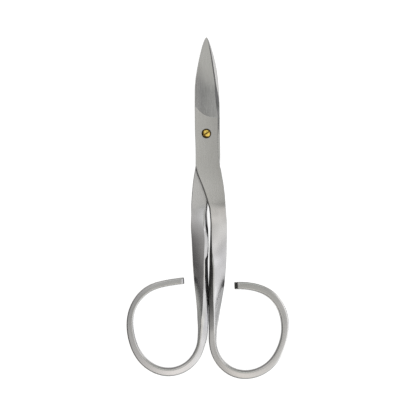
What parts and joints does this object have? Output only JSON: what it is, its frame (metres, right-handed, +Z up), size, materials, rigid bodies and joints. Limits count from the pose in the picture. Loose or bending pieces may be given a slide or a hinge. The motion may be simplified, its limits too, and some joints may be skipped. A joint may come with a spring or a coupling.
{
  "type": "toenail scissors",
  "caption": "Steel toenail scissors, closed: crossed straight blades turning on a brass slotted screw, with twisted shanks and open-ended finger loops bent from the same strip.",
  "frame": {"origin": "on the surface that the closed scissors lie on, within 0.3 mm of the middle of their bounding box", "axes": "+Z up from that surface, through the front half last; +Y along the scissors towards the blade tips; +X towards the finger loop of the front half"},
  "size_m": [0.0479, 0.1004, 0.0047],
  "materials": {
    "front_steel": "satin, ground along the blade, with buffed edges",
    "rear_steel": "satin, ground along the blade, with buffed edges",
    "screw_brass": "bright turned brass"
  },
  "bodies": {
    "rear_body": {"rear_half": "rear_steel", "pivot_screw": "screw_brass"},
    "front_body": {"front_half": "front_steel"}
  },
  "joints": [
    {"name": "pivot", "type": "hinge", "parent": "rear_body", "child": "front_body", "pos_m": [-0.00035, 0.02173, 0.00195], "axis": [0, 0, 1], "range_deg": [0, 90]}
  ]
}
